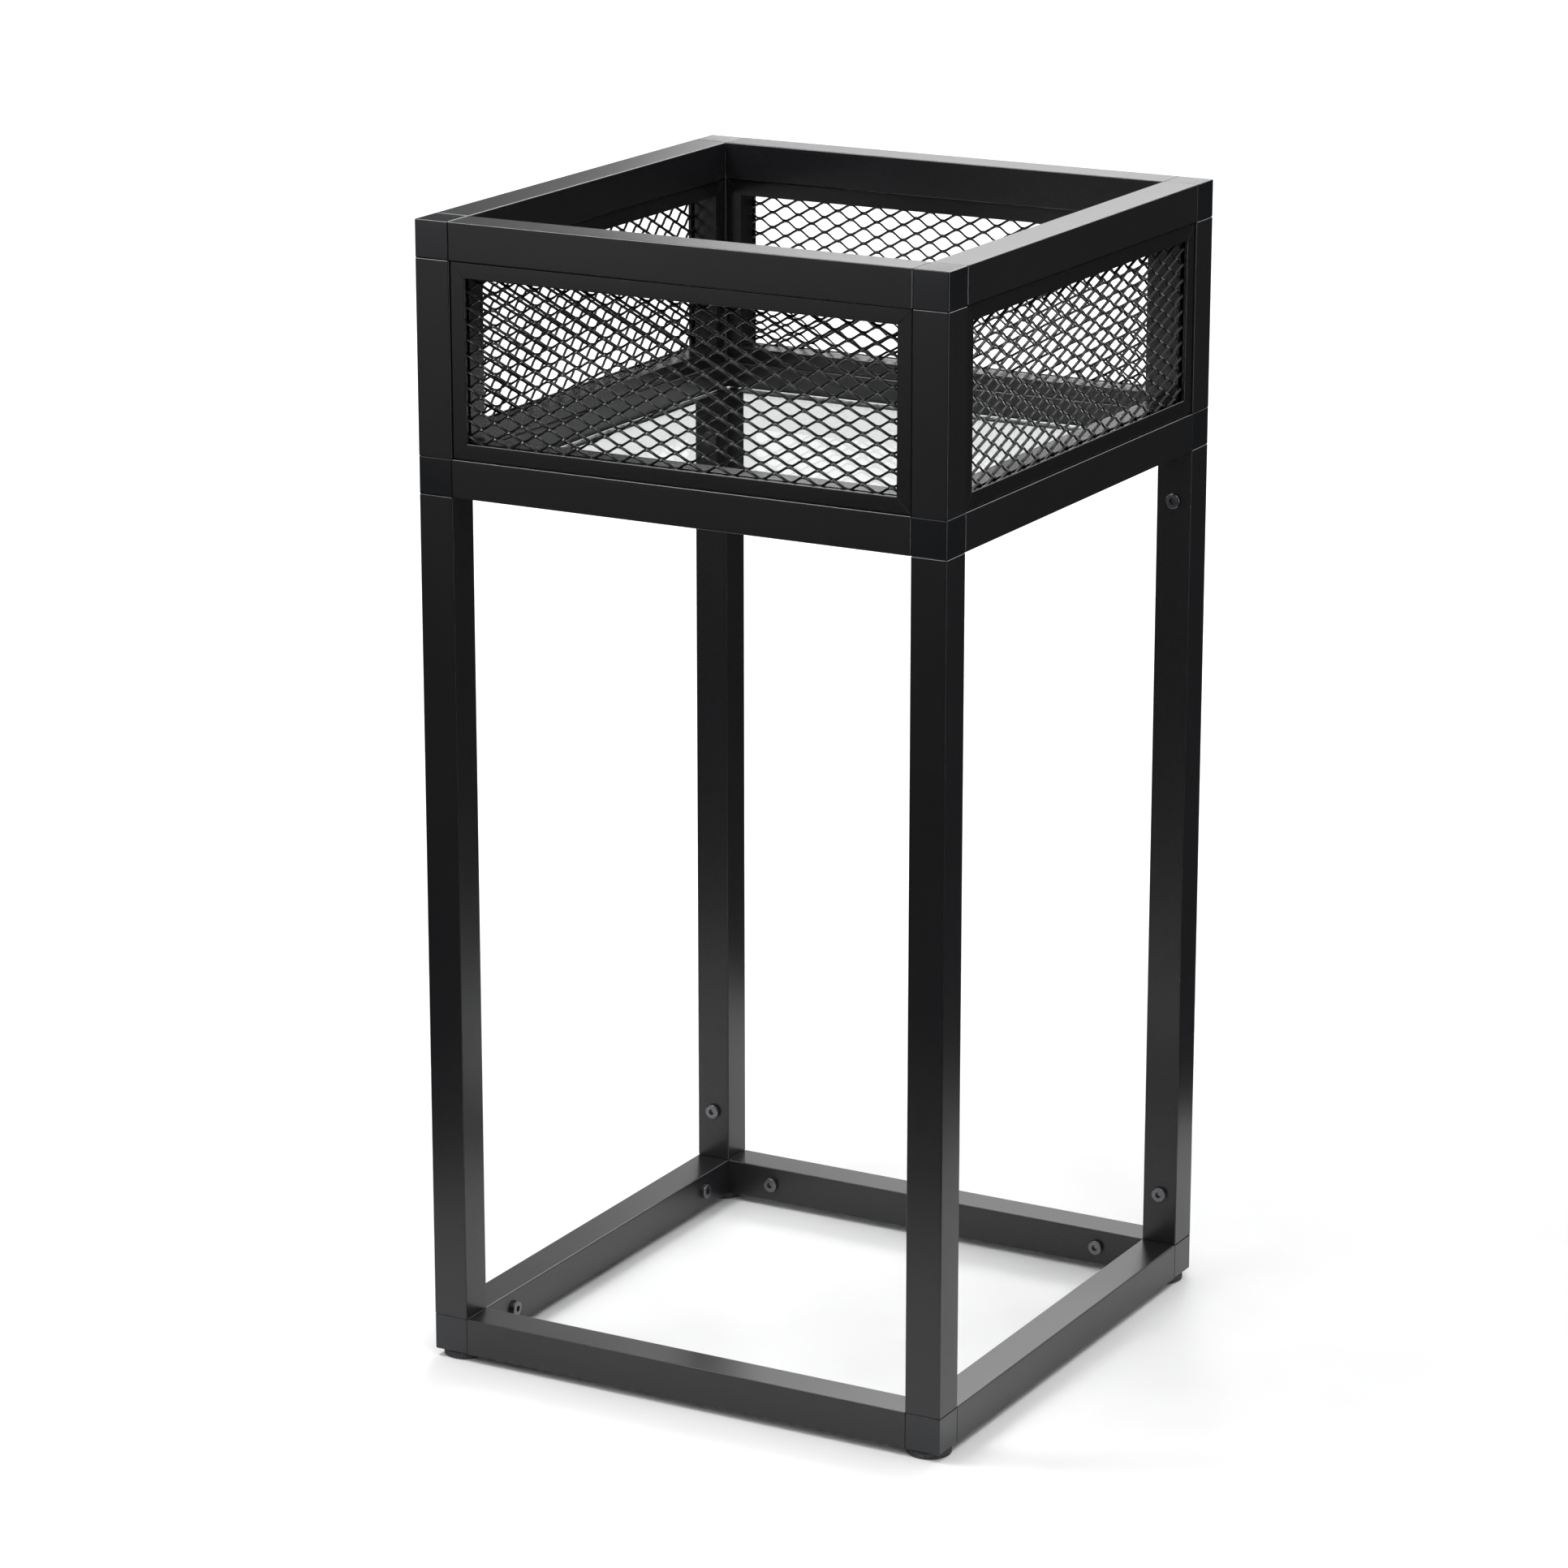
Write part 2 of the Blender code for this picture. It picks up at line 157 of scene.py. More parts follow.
def skin_loops(bm, loops, closed=True):
    """Join equal closed loops of points in turn; closed joins the last to the first, or caps."""
    rings = [[bm.verts.new(point) for point in loop] for loop in loops]
    following = rings[1:] + rings[:1] if closed else rings[1:]
    for ring, after in zip(rings, following):
        for i in range(len(ring)):
            j = (i + 1) % len(ring)
            bm.faces.new((ring[i], ring[j], after[j], after[i]))
    if not closed:
        bm.faces.new(rings[0])
        bm.faces.new(rings[-1])


def add_cylinder(bm, diameter, height, base, direction, sides=32):
    turn = Z.rotation_difference(direction).to_matrix().to_4x4()
    middle = Vector(base) + direction * height / 2
    bmesh.ops.create_cone(bm, cap_ends=True, segments=sides, radius1=diameter / 2,
                          radius2=diameter / 2, depth=height,
                          matrix=Matrix.Translation(middle) @ turn)


def to_mesh(name, bm):
    bmesh.ops.recalc_face_normals(bm, faces=bm.faces)
    mesh = bpy.data.meshes.new(name)
    bm.to_mesh(mesh)
    bm.free()
    return mesh


def boolean(mesh, tool, operation):
    """Return a new mesh: mesh with the tool cut out of it or joined to it."""
    body = bpy.data.objects.new("body", mesh)
    cutter = bpy.data.objects.new("cutter", tool)
    for obj in (body, cutter):
        bpy.context.collection.objects.link(obj)
    modifier = body.modifiers.new(operation.lower(), "BOOLEAN")
    modifier.operation = operation
    modifier.object = cutter
    evaluated = body.evaluated_get(bpy.context.evaluated_depsgraph_get())
    result = bpy.data.meshes.new_from_object(evaluated)
    bpy.data.objects.remove(body, do_unlink=True)
    bpy.data.objects.remove(cutter, do_unlink=True)
    return result


def drill(mesh, screws, diameter, depth, proud=0.001):
    """Holes along these screws' axes, from just outside the tubes' inner faces into the metal."""
    if not screws:
        return mesh
    tool = bmesh.new()
    for seat, inwards in screws:
        add_cylinder(tool, diameter, depth + proud, seat + inwards * proud, -inwards)
    return boolean(mesh, to_mesh("holes", tool), "DIFFERENCE")


def add_piece(name, mesh, materials, body="stand", nodes=(), sharp=40):
    """Make a finished piece of a mesh whose points are already in the frame's coordinates."""
    mesh.name = name
    mesh.materials.clear()
    for material in materials:
        mesh.materials.append(material)
    mesh.shade_smooth()
    mesh.set_sharp_from_angle(angle=math.radians(sharp))
    piece = bpy.data.objects.new(name, mesh)
    bpy.context.collection.objects.link(piece)
    normals = piece.modifiers.new("weighted_normals", "WEIGHTED_NORMAL")
    normals.keep_sharp = True
    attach(piece, body)
    if nodes:
        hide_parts(*nodes)
    return piece


def break_edges(piece, width):
    """Round a piece's square edges, ahead of its weighted normals."""
    bevel = piece.modifiers.new("broken_edges", "BEVEL")
    bevel.width = width
    bevel.segments = 2
    bevel.limit_method = "ANGLE"
    bevel.angle_limit = math.radians(50)
    piece.modifiers.move(len(piece.modifiers) - 1, 0)


# ---------------------------------------------------------------- materials

def new_material(name, **values):
    """A Principled material; values are the sockets that are the same all over."""
    material = bpy.data.materials.new(name)
    material.use_nodes = True
    shader = material.node_tree.nodes["Principled BSDF"]
    for socket, value in values.items():
        shader.inputs[socket.replace("_", " ")].default_value = value
    return material


def noise_node(material, scale, detail=2.0):
    """3-D noise in metres; scale is in features per metre."""
    nodes, links = material.node_tree.nodes, material.node_tree.links
    place = nodes.new("ShaderNodeTexCoord")
    noise = nodes.new("ShaderNodeTexNoise")
    noise.inputs["Scale"].default_value = scale
    noise.inputs["Detail"].default_value = detail
    links.new(place.outputs["Object"], noise.inputs["Vector"])
    return noise.outputs["Fac"]


def ramp_node(material, source, stops):
    """Colour ramp over a source; stops are (position, colour) pairs."""
    nodes, links = material.node_tree.nodes, material.node_tree.links
    ramp = nodes.new("ShaderNodeValToRGB")
    elements = ramp.color_ramp.elements
    while len(elements) < len(stops):
        elements.new(0.5)
    for element, (position, colour) in zip(elements, stops):
        element.position = position
        element.color = (*colour, 1.0)
    links.new(source, ramp.inputs["Fac"])
    return ramp.outputs["Color"]


def vary_roughness(material, source, low, high):
    nodes, links = material.node_tree.nodes, material.node_tree.links
    spread = nodes.new("ShaderNodeMapRange")
    spread.inputs["From Min"].default_value = 0.1
    spread.inputs["From Max"].default_value = 0.9
    spread.inputs["To Min"].default_value = low
    spread.inputs["To Max"].default_value = high
    links.new(source, spread.inputs["Value"])
    links.new(spread.outputs["Result"], nodes["Principled BSDF"].inputs["Roughness"])


def add_bump(material, source, strength, distance):
    nodes, links = material.node_tree.nodes, material.node_tree.links
    bump = nodes.new("ShaderNodeBump")
    bump.inputs["Strength"].default_value = strength
    bump.inputs["Distance"].default_value = distance
    links.new(source, bump.inputs["Height"])
    links.new(bump.outputs["Normal"], nodes["Principled BSDF"].inputs["Normal"])


def grained(name, dark, light, rough, grain, relief, **values):
    """Fine-grained finish: speckle at the grain's scale, roughness that drifts over the surface."""
    material = new_material(name, **values)
    links = material.node_tree.links
    speckle = noise_node(material, grain)
    colour = ramp_node(material, speckle, ((0.35, dark), (0.68, light)))
    links.new(colour, material.node_tree.nodes["Principled BSDF"].inputs["Base Color"])
    vary_roughness(material, noise_node(material, 9, 1.0), *rough)
    add_bump(material, speckle, 0.35, relief)
    return material


def make_materials():
    metal = {
        "tube_black": grained("tube_coat", (0.005, 0.005, 0.0058), (0.013, 0.013, 0.0150),
                              (0.26, 0.32), 1500, 0.000012, Specular_IOR_Level=0.5),
        "connector_black": grained("connector_coat", (0.004, 0.0045, 0.006),
                                   (0.009, 0.0098, 0.0125), (0.19, 0.25), 2200, 0.000004,
                                   Specular_IOR_Level=0.5),
        "panel_black": grained("panel_coat", (0.004, 0.004, 0.0044), (0.009, 0.009, 0.0098),
                               (0.23, 0.29), 1900, 0.00002, Specular_IOR_Level=0.5),
        "mesh_black": grained("mesh_coat", (0.004, 0.004, 0.0044), (0.010, 0.010, 0.0105),
                              (0.12, 0.20), 1600, 0.00003, Specular_IOR_Level=0.45),
        "screw_steel": grained("screw_steel_fine", (0.10, 0.10, 0.105), (0.19, 0.19, 0.20),
                               (0.22, 0.34), 2200, 0.00003, Metallic=0.9),
        "pad_rubber": grained("pad_rubber_fine", (0.006, 0.006, 0.007), (0.060, 0.060, 0.062),
                              (0.80, 0.95), 1100, 0.00025),
    }
    glass = new_material("glass_face", IOR=1.5, Roughness=0.0, Transmission_Weight=1.0,
                         Specular_IOR_Level=0.4)
    clear = ramp_node(glass, noise_node(glass, 25), ((0.3, (0.925, 0.948, 0.940)),
                                                     (0.7, (0.940, 0.960, 0.953))))
    glass.node_tree.links.new(clear, glass.node_tree.nodes["Principled BSDF"].inputs["Base Color"])
    edge = new_material("glass_ground_edge", Transmission_Weight=0.7, IOR=1.5)
    tint = ramp_node(edge, noise_node(edge, 700), ((0.3, (0.05, 0.17, 0.18)),
                                                   (0.7, (0.10, 0.27, 0.27))))
    edge.node_tree.links.new(tint, edge.node_tree.nodes["Principled BSDF"].inputs["Base Color"])
    vary_roughness(edge, noise_node(edge, 900), 0.22, 0.38)
    return metal, glass, edge


# ---------------------------------------------------------------- pieces

def screw_axes():
    """Every screw by name, as (seat on a tube's inner face, its head's direction, CAD node or None)."""
    def seat_on_face(point, inwards):
        return point - inwards * (INNER + point.dot(inwards))

    axes = {}
    for side, turn in SIDES.items():
        inwards = turned(turn).to_3x3() @ Y
        for label in ("a", "b"):
            node = f"rail_screw_{side}_{label}"
            axes[node] = (seat_on_face(centre(node), inwards), inwards, node)
    for corner, (_, sy) in CORNERS.items():
        inwards = -sy * Y
        node = f"leg_screw_{corner}"
        seat = seat_on_face(centre(node), inwards)
        axes[node] = (seat, inwards, node)
        leg_low, leg_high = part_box(f"lower_leg_{corner}")
        upper = Vector((seat.x, seat.y, leg_low.z + leg_high.z - seat.z))
        axes[f"leg_top_screw_{corner}"] = (upper, inwards, None)
    return axes


def tube_bmesh(length):
    """Tube along Z with round corners and lightly broken ends."""
    bm = bmesh.new()
    outer = rounded_square(TUBE, TUBE_ROUND)
    broken = rounded_square(TUBE - 2 * TUBE_END, TUBE_ROUND)
    inner = rounded_square(TUBE - 2 * WALL, TUBE_ROUND / 2)
    half = length / 2
    skin_loops(bm, [
        [(x, y, height) for x, y in outline] for outline, height in (
            (broken, -half), (outer, TUBE_END - half), (outer, half - TUBE_END),
            (broken, half), (inner, half), (inner, -half))
    ])
    return bm


def lip_mesh(turn, height):
    """The mitred strip along a middle rail that the glass lies on."""
    long_half = INNER - SEAM
    low = height - TUBE / 2 + LIP_RISE
    outline = ((-long_half, INNER + LIP_ROOT), (long_half, INNER + LIP_ROOT), (long_half, INNER),
               (long_half - LIP_WIDTH, INNER - LIP_WIDTH), (LIP_WIDTH - long_half, INNER - LIP_WIDTH),
               (-long_half, INNER))
    bm = bmesh.new()
    skin_loops(bm, [[(along, -out, z) for along, out in outline]
                    for z in (low, low + LIP_THICKNESS)], closed=False)
    bm.transform(turned(turn))
    return to_mesh("lip", bm)


def build_tubes(material, screws):
    lay_along_x = Matrix.Rotation(math.radians(90), 4, "Y")
    for level, height in LEVELS.items():
        for side, turn in SIDES.items():
            node = f"{level}_rail_{side}"
            bm = tube_bmesh(2 * (INNER - SEAM))
            bm.transform(turned(turn) @ Matrix.Translation((0, -AXIS, height)) @ lay_along_x)
            mesh = to_mesh(node, bm)
            if level == "mid":
                mesh = boolean(mesh, lip_mesh(turn, height), "UNION")
            own = [s[:2] for name, s in screws.items() if name.startswith(f"rail_screw_{side}")]
            if level == "bottom":
                mesh = drill(mesh, own, CLEARANCE_HOLE, 2 * WALL)
            add_piece(f"{node}_fine", mesh, [material], nodes=[node])
    for corner in CORNERS:
        for node in (f"upper_post_{corner}", f"lower_leg_{corner}"):
            levels = ("top", "mid") if node.startswith("upper_post") else ("mid", "bottom")
            above, below = (LEVELS[level] for level in levels)
            bm = tube_bmesh(above - below - TUBE - 2 * SEAM)
            middle = centre(node)
            bm.transform(Matrix.Translation((middle.x, middle.y, (above + below) / 2)))
            mesh = to_mesh(node, bm)
            own = [s[:2] for name, s in screws.items()
                   if name in (f"leg_screw_{corner}", f"leg_top_screw_{corner}")]
            if node.startswith("lower_leg"):
                mesh = drill(mesh, own, CLEARANCE_HOLE, 2 * WALL)
            add_piece(f"{node}_fine", mesh, [material], nodes=[node])


def build_connectors(material, screws):
    spigot = TUBE - 2 * WALL - SPIGOT_CLEARANCE
    for level, height in LEVELS.items():
        for corner, (sx, sy) in CORNERS.items():
            node = f"{level}_corner_{corner}"
            low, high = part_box(node)
            middle = Vector((sx * AXIS, sy * AXIS, height))
            bm = bmesh.new()
            bmesh.ops.create_cube(bm, size=TUBE)
            bmesh.ops.bevel(bm, geom=bm.edges[:], offset=CUBE_ROUND, offset_type="OFFSET",
                            segments=ARC_STEPS, profile=0.5, affect="EDGES")
            bm.normal_update()
            reaches = []
            for axis, direction in enumerate((X, Y, Z)):
                reaches.append((direction, high[axis] - middle[axis]))
                reaches.append((-direction, middle[axis] - low[axis]))
            arms = [(max(bm.faces, key=lambda f: f.normal.dot(direction) * f.calc_area()),
                     direction, reach - TUBE / 2) for direction, reach in reaches if reach > TUBE]
            inset = (TUBE - 2 * CUBE_ROUND - spigot) / 2
            for face, direction, length in arms:
                bmesh.ops.inset_individual(bm, faces=[face], thickness=inset, use_even_offset=True)
                end = bmesh.ops.extrude_discrete_faces(bm, faces=[face])["faces"][0]
                bmesh.ops.translate(bm, verts=end.verts, vec=direction * length)
            bm.transform(Matrix.Translation(middle))
            near = [s[:2] for s in screws.values() if (s[0] - middle).length < SCREW_REACH]
            mesh = drill(to_mesh(node, bm), near, TAPPED_HOLE, TAPPED_DEPTH)
            add_piece(f"{node}_fine", mesh, [material], nodes=[node])


def bar_profile(depth):
    """Section of a panel bar as (inset from the panel's edge, depth behind its face)."""
    def arc(inset, start):
        return [(inset + BAR_ROUND * math.cos(math.radians(start + 90 * k / ARC_STEPS)),
                 BAR_ROUND - BAR_ROUND * math.sin(math.radians(start + 90 * k / ARC_STEPS)))
                for k in range(ARC_STEPS + 1)]

    outside = [(inset, d) for inset, d in reversed(arc(BAR_ROUND, 90))]
    inside = [(inset, d) for inset, d in reversed(arc(BAR_WIDTH - BAR_ROUND, 0))]
    groove_middle = mesh_depth()
    floor = BAR_WIDTH - GROOVE_DEPTH
    low, high = groove_middle - GROOVE_WIDTH / 2, groove_middle + GROOVE_WIDTH / 2
    return (outside + inside
            + [(BAR_WIDTH, low), (floor, low), (floor, high), (BAR_WIDTH, high),
               (BAR_WIDTH, depth), (0, depth)])


def mesh_depth():
    """From the panel's face to the middle of its mesh sheet."""
    return centre("panel_mesh_front").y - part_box("panel_frame_front")[0].y


def build_panel_frames(material):
    panel = size("panel_frame_front")
    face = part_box("panel_frame_front")[0].y
    height = centre("panel_frame_front").z
    profile = bar_profile(panel.y)
    for side, turn in SIDES.items():
        node = f"panel_frame_{side}"
        bm = bmesh.new()
        for quarter in range(4):
            along, across = (panel.x, panel.z) if quarter % 2 == 0 else (panel.z, panel.x)
            ends = [[(sign * (along / 2 - inset - MITRE_GAP), depth, inset - across / 2)
                     for inset, depth in profile] for sign in (-1, 1)]
            spin = Matrix.Rotation(math.radians(90 * quarter), 3, "Y")
            skin_loops(bm, [[spin @ Vector(point) for point in end] for end in ends], closed=False)
        bm.transform(turned(turn) @ Matrix.Translation((0, face, height)))
        piece = add_piece(f"{node}_fine", to_mesh(node, bm), [material],
                          nodes=[node], sharp=35)
        break_edges(piece, MITRE_ROUND)


def strand_section():
    """Rounded rectangle across a strand, as (along its width, along its thickness)."""
    reach_w, reach_t = STRAND_WIDTH / 2 - STRAND_ROUND, STRAND_THICKNESS / 2 - STRAND_ROUND
    points = []
    for quarter, (sw, st) in enumerate(((1, 1), (-1, 1), (-1, -1), (1, -1))):
        for step in range(SECTION_STEPS + 1):
            angle = math.radians(90 * (quarter + step / SECTION_STEPS))
            points.append((sw * reach_w + STRAND_ROUND * math.cos(angle),
                           st * reach_t + STRAND_ROUND * math.sin(angle)))
    return points


def expanded_metal(side):
    """Raised mesh in the panel's own axes: X along, Z up, +Y inwards, its middle plane at Y = 0."""
    sheet = size("panel_mesh_front")
    clear_low = Vector((-INNER, 0, LEVELS["mid"] + TUBE / 2 - centre("panel_mesh_front").z))
    phase_x, phase_z = BOND_PHASE[side]
    lean_in, lean_up = math.sin(STRAND_LEAN), math.cos(STRAND_LEAN)
    swing = MESH_SHORT / 4 - STRAND_WIDTH * lean_up / 2 + BOND_OVERLAP
    shift = STRAND_WIDTH * lean_in / 2
    section = strand_section()
    # A strand's cross-sections from one bond to the next, as shares of the way
    sections_at = [0, *(BOND_SHARE + (1 - 2 * BOND_SHARE) * k / SLOPE_STEPS
                        for k in range(SLOPE_STEPS + 1))]
    first_bond_x = clear_low.x + phase_x
    first_bond_z = clear_low.z + phase_z
    bm = bmesh.new()
    rows = math.ceil(sheet.z / (MESH_SHORT / 2))
    for row in range(-rows, rows + 1):
        height = first_bond_z + (row + 0.5) * MESH_SHORT / 2
        if abs(height) > sheet.z / 2 - MESH_SHORT / 4:
            continue
        loops = []
        bonds = math.ceil(2 * sheet.x / MESH_LONG)
        for along in (bond + part for bond in range(-bonds, bonds) for part in sections_at):
            x = first_bond_x + along * MESH_LONG / 2
            if abs(x) > sheet.x / 2:
                continue
            wave = triangle_wave(along + row)
            loops.append([(x,
                           shift * wave + across * lean_in + through * lean_up,
                           height - swing * wave + across * lean_up - through * lean_in)
                          for across, through in section])
        skin_loops(bm, loops, closed=False)
    return bm


def triangle_wave(turns):
    """1 at even bonds and -1 at odd ones, level along each bond and nearly straight between."""
    along = abs((turns + 1) % 2 - 1)   # 0 at even bonds, 1 at odd ones
    share = min(1, max(0, (along - BOND_SHARE) / (1 - 2 * BOND_SHARE)))
    eased = share * share * (3 - 2 * share)
    return 1 - 2 * (share + BOND_EASE * (eased - share))


def build_meshes(material):
    middle = centre("panel_mesh_front")
    for side, turn in SIDES.items():
        node = f"panel_mesh_{side}"
        bm = expanded_metal(side)
        bm.transform(turned(turn) @ Matrix.Translation((0, middle.y, middle.z)))
        add_piece(f"{node}_fine", to_mesh(node, bm), [material], nodes=[node],
                  sharp=60)


def screw_mesh():
    """Low-head socket screw with its seat at Z = 0, its head up and its shank down."""
    outline = [(0, -SHANK_LENGTH), (SHANK_DIAMETER / 2 - SHANK_EDGE, -SHANK_LENGTH),
               (SHANK_DIAMETER / 2, SHANK_EDGE - SHANK_LENGTH), (SHANK_DIAMETER / 2, 0),
               (HEAD_DIAMETER / 2, 0)]
    for step in range(ARC_STEPS + 1):
        angle = math.radians(90 * step / ARC_STEPS)
        outline.append((HEAD_DIAMETER / 2 - HEAD_EDGE * (1 - math.cos(angle)),
                        HEAD_PROUD - HEAD_EDGE * (1 - math.sin(angle))))
    outline.append((0, HEAD_PROUD))
    bm = bmesh.new()
    verts = [bm.verts.new((radius, 0, height)) for radius, height in outline]
    edges = [bm.edges.new(pair) for pair in zip(verts, verts[1:])]
    bmesh.ops.spin(bm, geom=verts + edges, cent=(0, 0, 0), axis=(0, 0, 1), angle=math.tau,
                   steps=48, use_merge=True)
    bmesh.ops.remove_doubles(bm, verts=bm.verts, dist=1e-6)
    socket = bmesh.new()
    floor = Vector((0, 0, HEAD_PROUD - SOCKET_DEPTH))
    add_cylinder(socket, SOCKET_WIDTH / math.cos(math.pi / 6), 2 * SOCKET_DEPTH, floor, Z, sides=6)
    return boolean(to_mesh("screw", bm), to_mesh("socket", socket), "DIFFERENCE")


def build_screws(material, screws):
    shared = screw_mesh()
    for name, (seat, inwards, node) in screws.items():
        mesh = shared.copy()
        mesh.transform(Matrix.Translation(seat) @ Z.rotation_difference(inwards).to_matrix().to_4x4())
        add_piece(f"{name}_fine", mesh, [material], nodes=[node] if node else [])


def build_feet(material):
    for corner in CORNERS:
        node = f"foot_{corner}"
        low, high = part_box(node)
        bm = bmesh.new()
        add_cylinder(bm, high.x - low.x, high.z - low.z, (0, 0, 0), Z, sides=64)
        rims = [e for e in bm.edges if abs(e.verts[0].co.z - e.verts[1].co.z) < 1e-7]
        bmesh.ops.bevel(bm, geom=rims, offset=FOOT_ROUND, offset_type="OFFSET", segments=ARC_STEPS,
                        profile=0.5, affect="EDGES")
        middle = centre(node)
        bm.transform(Matrix.Translation((middle.x, middle.y, low.z)))
        add_piece(f"{node}_fine", to_mesh(node, bm), [material], nodes=[node])


def build_glass(face_material, edge_material):
    low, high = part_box("glass_shelf")
    bm = bmesh.new()
    matrix = Matrix.Translation((low + high) / 2) @ Matrix.Diagonal((*(high - low), 1))
    bmesh.ops.create_cube(bm, size=1, matrix=matrix)
    upright = [e for e in bm.edges if abs(e.verts[0].co.z - e.verts[1].co.z) > 1e-6]
    bmesh.ops.bevel(bm, geom=upright, offset=GLASS_CORNER, offset_type="OFFSET", segments=8,
                    profile=0.5, affect="EDGES")
    bm.normal_update()
    rims = [e for f in bm.faces if abs(f.normal.z) > 0.5 for e in f.edges]
    bmesh.ops.bevel(bm, geom=rims, offset=GLASS_EDGE, offset_type="OFFSET", segments=2,
                    affect="EDGES")
    bm.normal_update()
    for face in bm.faces:
        face.material_index = 0 if abs(face.normal.z) > 0.99 else 1
    add_piece("glass_shelf_fine", to_mesh("glass_shelf", bm), [face_material, edge_material],
              body="glass", nodes=["glass_shelf"], sharp=30)


# ---------------------------------------------------------------- studio

CAMERA_PLACE = (1.6372, -3.0142, 1.3613)
CAMERA_TURN = math.radians(28.92)    # about Z, from looking along +Y
CAMERA_TILT = math.radians(16.01)    # below the horizon
CAMERA_LENS = 123.2

MIDDLE = (0, 0, 0.4)     # what the lamps are aimed at
BASKET = (0, 0, 0.7)


def add_camera():
    data = bpy.data.cameras.new("camera")
    data.lens = CAMERA_LENS
    data.sensor_width = 36
    data.clip_end = 50
    camera = bpy.data.objects.new("camera", data)
    bpy.context.collection.objects.link(camera)
    camera.location = CAMERA_PLACE
    camera.rotation_euler = (math.radians(90) - CAMERA_TILT, 0, CAMERA_TURN)
    bpy.context.scene.camera = camera


def add_softbox(name, place, width, height, watts, aim=MIDDLE):
    data = bpy.data.lights.new(name, "AREA")
    data.shape = "RECTANGLE"
    data.size = width
    data.size_y = height
    data.energy = watts
    light = bpy.data.objects.new(name, data)
    bpy.context.collection.objects.link(light)
    light.location = place
    light.rotation_euler = (Vector(aim) - Vector(place)).to_track_quat("-Z", "Y").to_euler()
    light.visible_camera = False


NEAR_RADIUS = 0.58       # the part of the floor that the object mirrors
GLOW_RADIUS = 1.3        # from here outwards the far floor glows fully
GLOW_STRENGTH = 1.1
FAR_RADIUS = 12.0        # where the floor starts to bend up
BEND_RADIUS = 2
WALL_HEIGHT = 6.0


def glow_with_distance(material, inner, outer, strength, far_colour):
    """From the inner radius to the outer one, fade the colour to far_colour and add a white glow."""
    nodes, links = material.node_tree.nodes, material.node_tree.links
    place = nodes.new("ShaderNodeTexCoord")
    distance = nodes.new("ShaderNodeVectorMath")
    distance.operation = "LENGTH"
    growth = nodes.new("ShaderNodeMapRange")
    growth.interpolation_type = "SMOOTHSTEP"
    growth.inputs["From Min"].default_value = inner
    growth.inputs["From Max"].default_value = outer
    shader = nodes["Principled BSDF"]
    shader.inputs["Emission Color"].default_value = (1.0, 1.0, 1.0, 1.0)
    links.new(place.outputs["Object"], distance.inputs[0])
    links.new(distance.outputs["Value"], growth.inputs["Value"])
    glow = nodes.new("ShaderNodeMath")
    glow.operation = "MULTIPLY"
    glow.inputs[1].default_value = strength
    links.new(growth.outputs["Result"], glow.inputs[0])
    links.new(glow.outputs["Value"], shader.inputs["Emission Strength"])
    fade = nodes.new("ShaderNodeMix")
    fade.data_type = "RGBA"
    own, far = [socket for socket in fade.inputs if socket.type == "RGBA"]
    faded = [socket for socket in fade.outputs if socket.type == "RGBA"][0]
    far.default_value = (*far_colour, 1.0)
    links.new(growth.outputs["Result"], fade.inputs["Factor"])
    links.new(shader.inputs["Base Color"].links[0].from_socket, own)
    links.new(faded, shader.inputs["Base Color"])


def add_stage_ring(name, material, rings):
    """Stage piece through rings of (radius, height), inner ones first; one ring alone is a disc."""
    bm = bmesh.new()
    segments = 96
    loops = [[bm.verts.new((radius * math.cos(math.tau * k / segments),
                            radius * math.sin(math.tau * k / segments), height))
              for k in range(segments)] for radius, height in rings]
    for inner, outer in zip(loops, loops[1:]):
        for k in range(segments):
            j = (k + 1) % segments
            bm.faces.new((inner[k], outer[k], outer[j], inner[j]))
    if len(loops) == 1:
        bm.faces.new(loops[0])
    mesh = bpy.data.meshes.new(name)
    bm.to_mesh(mesh)
    bm.free()
    mesh.materials.append(material)
    mesh.shade_smooth()
    ring = bpy.data.objects.new(name, mesh)
    bpy.context.collection.objects.link(ring)
    return ring


def floor_material(name):
    return grained(name, (0.81, 0.81, 0.815), (0.83, 0.83, 0.835), (0.55, 0.7), 12, 0.0)


def add_floor():
    """A near disc, and a far floor and wall that reflections and bounced light leave out."""
    add_stage_ring("floor_near", floor_material("studio_floor"), [(NEAR_RADIUS, 0)])
    far = floor_material("studio_floor_far")
    glow_with_distance(far, NEAR_RADIUS, GLOW_RADIUS, GLOW_STRENGTH, (0.20, 0.20, 0.20))
    bend = [(FAR_RADIUS + BEND_RADIUS * math.sin(math.radians(step)),
             BEND_RADIUS - BEND_RADIUS * math.cos(math.radians(step)))
            for step in range(0, 91, 10)]
    top = (FAR_RADIUS + BEND_RADIUS, WALL_HEIGHT)
    ring = add_stage_ring("floor_far", far, [(NEAR_RADIUS, 0), *bend, top])
    ring.visible_glossy = False
    ring.visible_diffuse = False


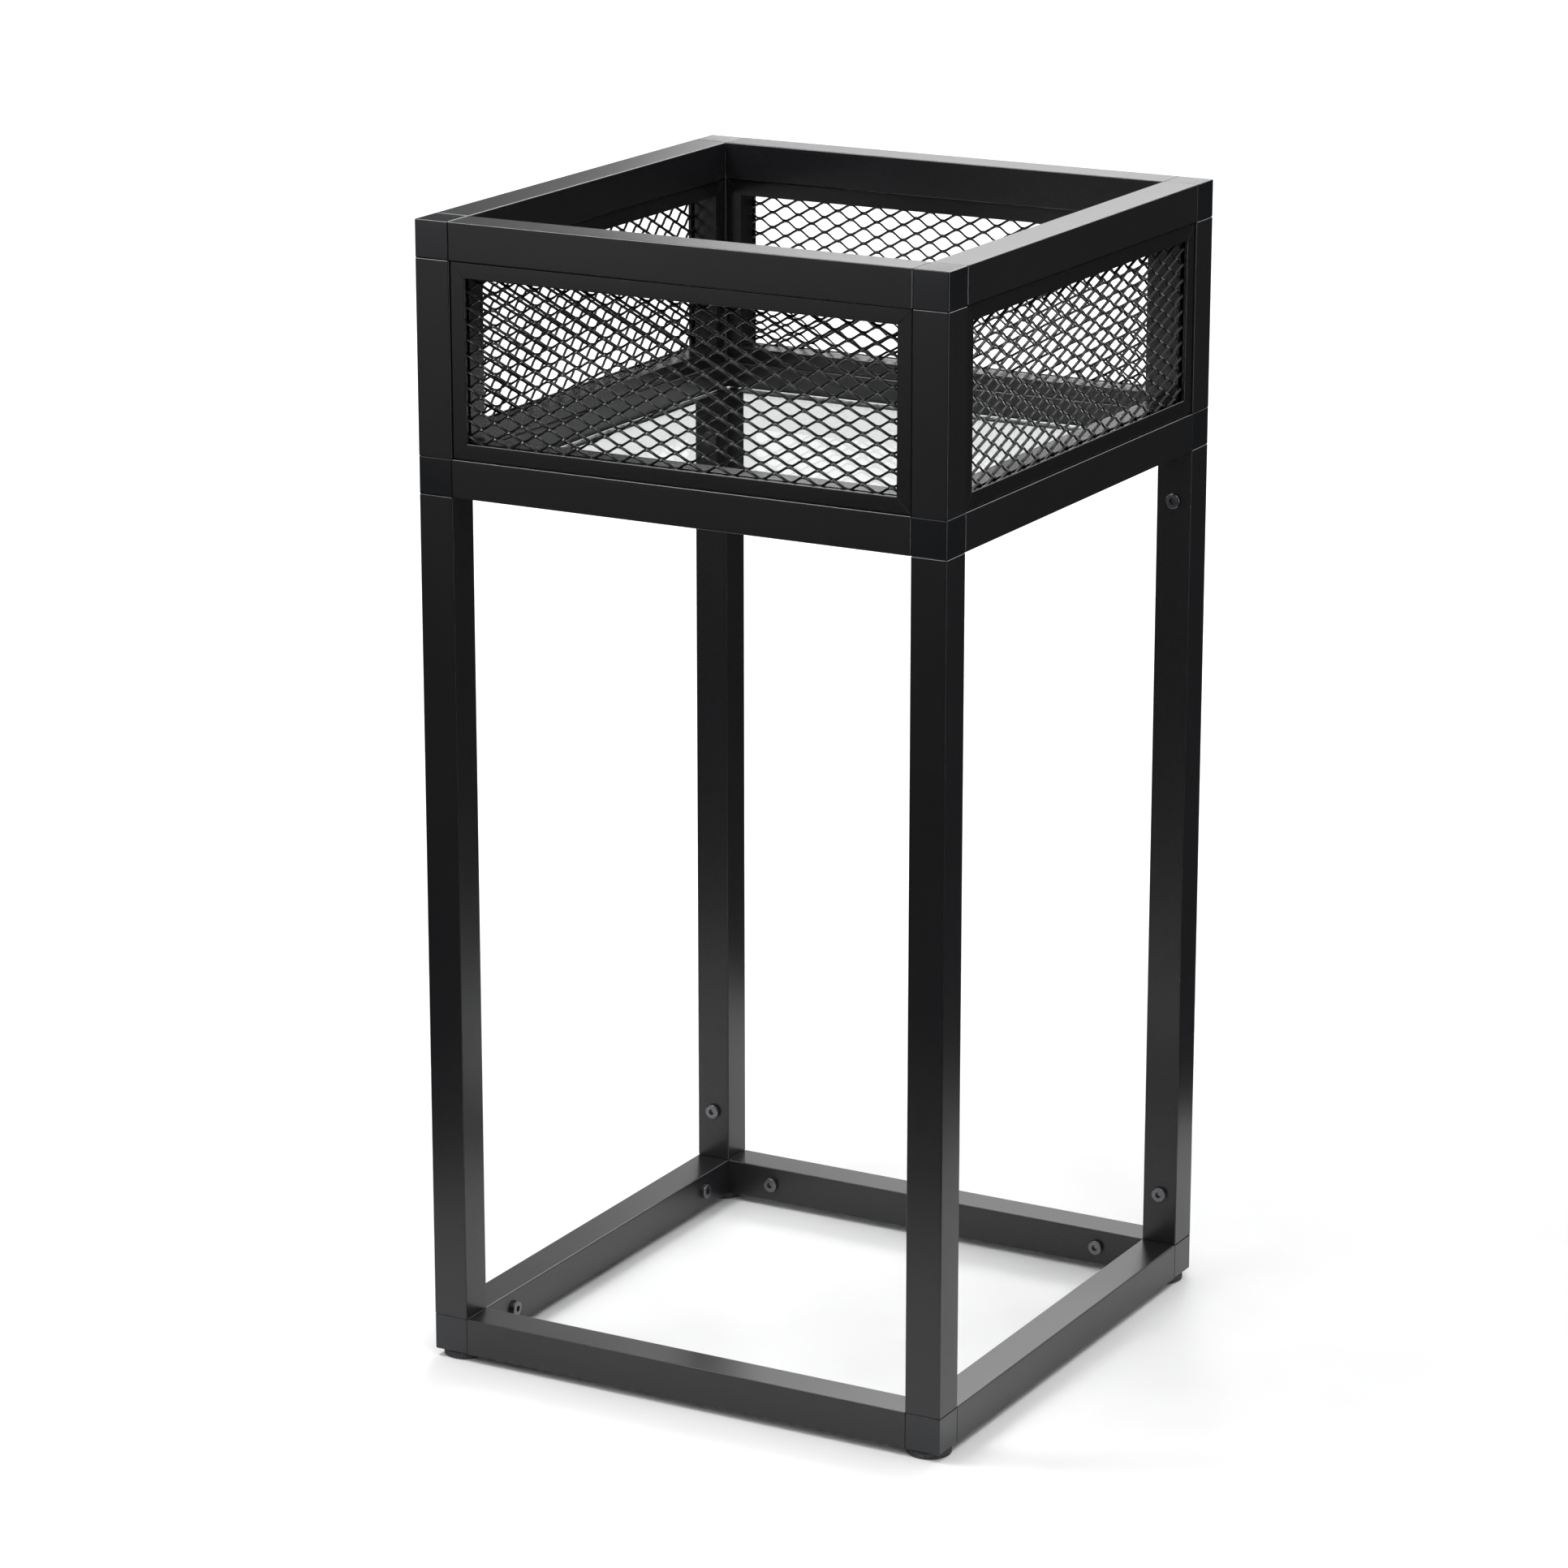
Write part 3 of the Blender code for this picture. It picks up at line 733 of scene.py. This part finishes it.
def light_studio():
    world = bpy.data.worlds.new("studio")
    world.use_nodes = True
    background = world.node_tree.nodes["Background"]
    background.inputs["Color"].default_value = (0.95, 0.97, 1.0, 1.0)
    background.inputs["Strength"].default_value = 0.04
    bpy.context.scene.world = world
    bpy.context.scene.view_settings.view_transform = "Standard"
    add_softbox("front_low", (-2.0, -3.5, 0.5), 1.6, 0.8, 6)
    add_softbox("front_high", (-2.4, -3.2, 2.6), 2.2, 2.2, 23)
    add_softbox("front_right", (3.2, -2.0, 2.4), 1.8, 1.8, 4)
    add_softbox("side_right", (3.4, 0.4, 0.6), 1.8, 1.0, 7)
    add_softbox("side_left", (-3.4, 0.8, 0.6), 1.8, 1.0, 6)
    add_softbox("back_side_left", (-1.7, 3.3, 0.55), 1.8, 0.9, 6)
    add_softbox("back_side_right", (3.2, 2.1, 0.55), 1.2, 0.9, 6)
    add_softbox("back_left", (-1.35, 3.8, 2.9), 1.7, 1.4, 54, aim=BASKET)
    add_softbox("back_high", (1.3, 3.9, 2.9), 1.6, 1.2, 34, aim=BASKET)
    add_softbox("back_low", (-2.9, 7.4, 1.7), 2.6, 0.9, 17, aim=BASKET)
    add_softbox("overhead", (0.5, -0.15, 2.15), 0.6, 0.6, 6, aim=BASKET)
    add_softbox("edge_top", (-0.65, -0.4, 1.85), 0.45, 0.45, 14, aim=BASKET)
    add_softbox("edge_mitre", (1.35, -1.4, 2.4), 0.5, 0.5, 8, aim=BASKET)
    add_softbox("edge_right", (2.6, -1.4, 0.5), 0.2, 1.2, 16)
    dome = bpy.data.lights.new("dome", "SUN")
    dome.energy = 2.05
    dome.angle = math.radians(110)
    bpy.context.collection.objects.link(bpy.data.objects.new("dome", dome))


def main():
    metal, glass_face, glass_edge = make_materials()
    screws = screw_axes()
    build_tubes(metal["tube_black"], screws)
    build_connectors(metal["connector_black"], screws)
    build_panel_frames(metal["panel_black"])
    build_meshes(metal["mesh_black"])
    build_screws(metal["screw_steel"], screws)
    build_feet(metal["pad_rubber"])
    build_glass(glass_face, glass_edge)
    add_floor()
    light_studio()
    add_camera()


main()
